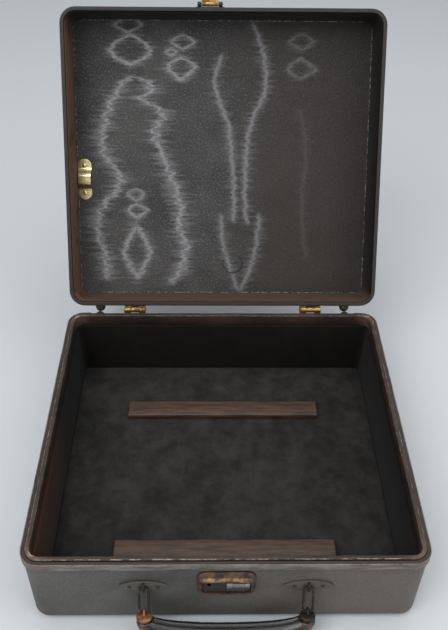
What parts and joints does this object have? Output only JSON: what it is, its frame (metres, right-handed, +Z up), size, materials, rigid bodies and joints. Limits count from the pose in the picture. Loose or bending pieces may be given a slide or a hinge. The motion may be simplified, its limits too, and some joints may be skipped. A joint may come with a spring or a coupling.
{
  "type": "portable typewriter case",
  "caption": "covered wooden carrying case: deep tray, hinged shallow lid, sliding lock with hasp, drop handle, rubbed leatherette and cloth linings",
  "frame": {"origin": "centre of the tray's flat underside, just above the glides", "axes": "X to the right seen from the lock, Y to the hinges, Z up"},
  "size_m": [0.33, 0.5297, 0.3914],
  "materials": {
    "leatherette": "grained, worn at the edges",
    "rim_leather": "satin, scuffed",
    "worn_lip": "worn",
    "plywood": "bare",
    "brown_cloth": "napped",
    "charcoal_felt": "felt",
    "moire_cloth": "fine weave",
    "pale_brass": "satin",
    "aged_brass": "tarnished",
    "worn_bronze": "dark patina, worn bright on edges",
    "dark_steel": "worn dark lacquer",
    "grey_steel": "dull",
    "black_leather": "glossy, creased"
  },
  "bodies": {
    "base": {"base_covering": "leatherette", "base_floor_board": "plywood", "base_walls": "plywood", "base_lip": "worn_lip", "base_wall_liner": "brown_cloth", "base_floor_lining": "charcoal_felt", "base_rim_band": "rim_leather", "front_batten": "plywood", "rear_batten": "plywood", "glide_front_left": "dark_steel", "glide_rear_left": "dark_steel", "glide_front_right": "dark_steel", "glide_rear_right": "dark_steel", "base_stud_left": "dark_steel", "base_stud_right": "dark_steel", "hinge_base_leaf_left": "aged_brass", "hinge_base_leaf_right": "aged_brass", "hinge_pin_left": "aged_brass", "hinge_pin_right": "aged_brass", "lock_back_plate": "dark_steel", "lock_frame": "worn_bronze", "lock_spring": "grey_steel", "handle_plate_left": "dark_steel", "handle_plate_right": "dark_steel", "handle_eye_left": "worn_bronze", "handle_eye_right": "worn_bronze", "handle_rivet_left_outer": "dark_steel", "handle_rivet_left_inner": "dark_steel", "handle_rivet_right_inner": "dark_steel", "handle_rivet_right_outer": "dark_steel"},
    "lid": {"lid_covering": "leatherette", "lid_top_board": "plywood", "lid_walls": "plywood", "lid_wall_lining": "brown_cloth", "lid_top_lining": "moire_cloth", "lid_stud_left": "dark_steel", "lid_stud_right": "dark_steel", "hinge_lid_leaf_left": "aged_brass", "hinge_lid_leaf_right": "aged_brass", "hasp_plate": "aged_brass", "hasp_pin": "aged_brass", "hasp_rivet_left": "aged_brass", "hasp_rivet_right": "aged_brass", "brush_strap": "pale_brass", "strap_rivet_lower": "pale_brass", "strap_rivet_upper": "pale_brass", "lining_disc": "moire_cloth"},
    "hasp": {"hasp": "aged_brass", "hasp_staple": "aged_brass"},
    "lock_slide": {"slide_button": "grey_steel", "slide_bolt": "grey_steel"},
    "handle": {"handle_link_left": "worn_bronze", "handle_link_right": "worn_bronze", "handle_cap_left": "worn_bronze", "handle_cap_right": "worn_bronze", "handle_leather": "black_leather", "handle_core": "plywood"}
  },
  "joints": [
    {"name": "lid_hinge", "type": "hinge", "parent": "base", "child": "lid", "pos_m": [0, 0.1567, 0.0822], "axis": [1, 0, 0], "range_deg": [0, 118.4]},
    {"name": "hasp_hinge", "type": "hinge", "parent": "lid", "child": "hasp", "pos_m": [-0.014, 0.30917, 0.35536], "axis": [1, 0, 0], "range_deg": [0, 100]},
    {"name": "handle_swing", "type": "hinge", "parent": "base", "child": "handle", "pos_m": [0, -0.1542, 0.0515], "axis": [-1, 0, 0], "range_deg": [-11, 100]},
    {"name": "lock_slide_travel", "type": "slide", "parent": "base", "child": "lock_slide", "axis": [-1, 0, 0], "range_m": [0, 0.0032], "stiffness_N_per_m": 300, "deforming": ["lock_spring"]}
  ]
}
